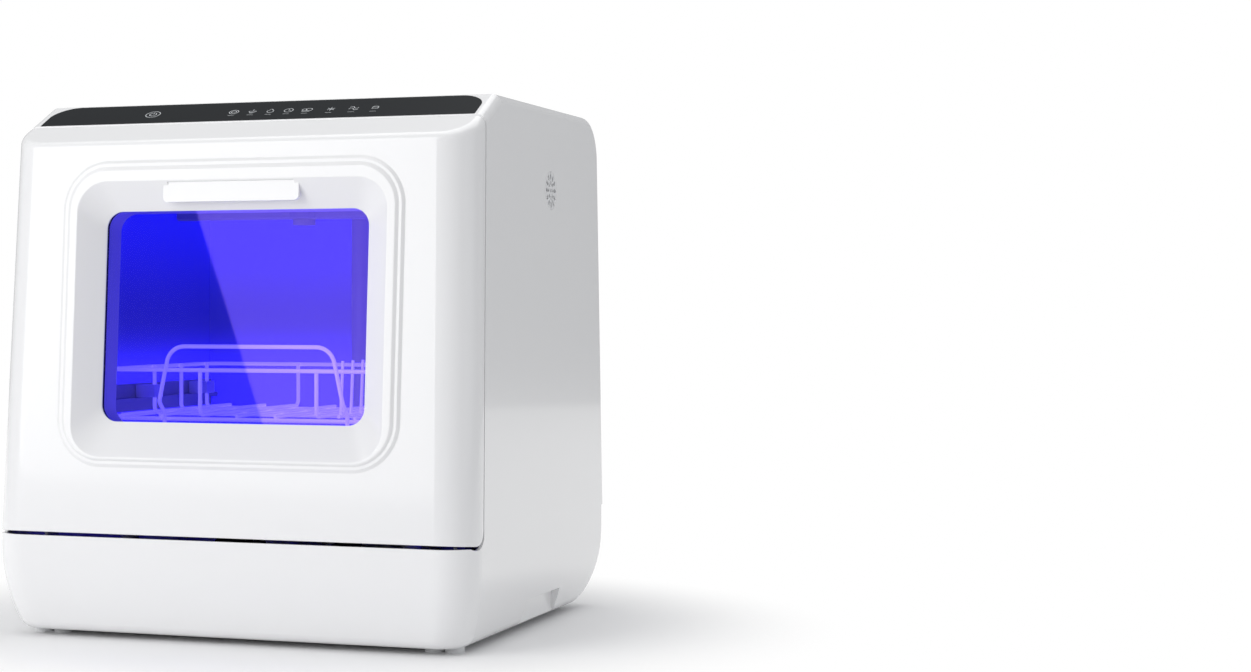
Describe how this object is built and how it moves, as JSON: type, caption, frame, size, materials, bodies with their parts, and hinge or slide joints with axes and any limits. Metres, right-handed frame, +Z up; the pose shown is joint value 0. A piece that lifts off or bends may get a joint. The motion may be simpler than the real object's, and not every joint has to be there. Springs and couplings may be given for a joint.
{
  "type": "countertop dishwasher",
  "caption": "White countertop dishwasher with a windowed drop-down door, sloping touch control strip and a wire rack that slides out.",
  "frame": {"origin": "middle of the footprint, on the table plane", "axes": "+X to the right seen from the front, +Y towards the back, +Z up"},
  "size_m": [0.42, 0.418, 0.446],
  "materials": {
    "white_body": "gloss white moulding",
    "white_matte": "satin white moulding",
    "black_glass": "black back-painted glass",
    "window_glass": "clear tinted glass",
    "black_rubber": "matt",
    "grey_rubber": "matt",
    "tub_plastic": "grey moulding",
    "steel": "brushed",
    "zinc_steel": "zinc plated",
    "wire_coating": "coated wire",
    "black_plastic": "matt",
    "clear_plastic": "clear moulding",
    "board_green": "circuit board"
  },
  "bodies": {
    "cabinet": {"base_housing": "white_body", "front_feet": "white_matte", "rear_feet": "white_matte", "upper_housing": "white_body", "rear_panel": "zinc_steel", "rear_screws": "steel", "control_glass": "black_glass", "touch_board": "board_green", "side_vent": "white_matte", "lid_pin": "steel", "fill_funnel": "black_plastic", "hinge_arms": "zinc_steel", "hinge_pins": "steel", "door_catch": "black_plastic", "wash_tub": "tub_plastic", "tub_gasket": "black_rubber", "tub_lamp": "clear_plastic", "rack_rails": "tub_plastic", "lower_spindle": "tub_plastic", "upper_spindle": "tub_plastic", "arm_nuts": "tub_plastic", "feed_pipe": "tub_plastic", "sump": "black_plastic", "filter_plate": "steel", "water_tank": "clear_plastic", "wash_pump": "black_plastic", "flow_heater": "steel", "drain_pump": "black_plastic", "fan_housing": "black_plastic", "main_board": "board_green", "sump_hose": "grey_rubber", "heater_hose": "grey_rubber", "pressure_hose": "grey_rubber", "sump_drain_hose": "grey_rubber", "drain_hose": "grey_rubber", "tank_hose": "grey_rubber", "fill_hose": "grey_rubber", "inlet_valve": "white_matte", "inlet_fitting": "white_matte", "drain_spigot": "white_matte", "cord_gland": "black_plastic"},
    "door": {"door_panel": "white_body", "door_window": "window_glass", "window_gasket": "black_rubber", "door_liner": "white_matte", "detergent_cup": "tub_plastic", "door_handle": "white_body", "door_strike": "steel", "hinge_cheeks": "zinc_steel", "door_screws": "steel"},
    "rack": {"rack_frame": "wire_coating", "plate_combs": "wire_coating", "rack_hoop": "wire_coating", "rack_runners": "white_matte"},
    "fill_lid": {"fill_lid": "white_body"},
    "lower_arm": {"lower_spray_arm": "tub_plastic"},
    "upper_arm": {"upper_spray_arm": "tub_plastic"},
    "filter": {"filter_basket": "tub_plastic"},
    "fan_wheel": {"fan_rotor": "black_plastic"},
    "impeller": {"pump_impeller": "white_matte"}
  },
  "joints": [
    {"name": "door_hinge", "type": "hinge", "parent": "cabinet", "child": "door", "pos_m": [0, -0.19708, 0.10066], "axis": [1, 0, 0], "range_deg": [0, 90]},
    {"name": "rack_slide", "type": "slide", "parent": "cabinet", "child": "rack", "axis": [0, -1, 0], "range_m": [0, 0.115]},
    {"name": "lower_arm_spin", "type": "hinge", "parent": "cabinet", "child": "lower_arm", "pos_m": [0, -0.027, 0.135], "axis": [0, 0, 1], "continuous": true},
    {"name": "upper_arm_spin", "type": "hinge", "parent": "cabinet", "child": "upper_arm", "pos_m": [0, -0.027, 0.355], "axis": [0, 0, 1], "continuous": true},
    {"name": "filter_twist", "type": "hinge", "parent": "cabinet", "child": "filter", "pos_m": [0.088, 0.053, 0.108], "axis": [0, 0, 1], "range_deg": [0, 45]},
    {"name": "fill_lid_hinge", "type": "hinge", "parent": "cabinet", "child": "fill_lid", "pos_m": [0.12, 0.118, 0.4435], "axis": [-1, 0, 0], "range_deg": [0, 95]},
    {"name": "fan_spin", "type": "hinge", "parent": "cabinet", "child": "fan_wheel", "pos_m": [0.175, 0.032, 0.374], "axis": [1, 0, 0], "continuous": true},
    {"name": "pump_spin", "type": "hinge", "parent": "cabinet", "child": "impeller", "pos_m": [-0.035, -0.089, 0.046], "axis": [1, 0, 0], "continuous": true}
  ],
  "couplings": [
    {"joint": "rack_slide", "follows": "door_hinge", "m_per_rad": 0.0732}
  ]
}
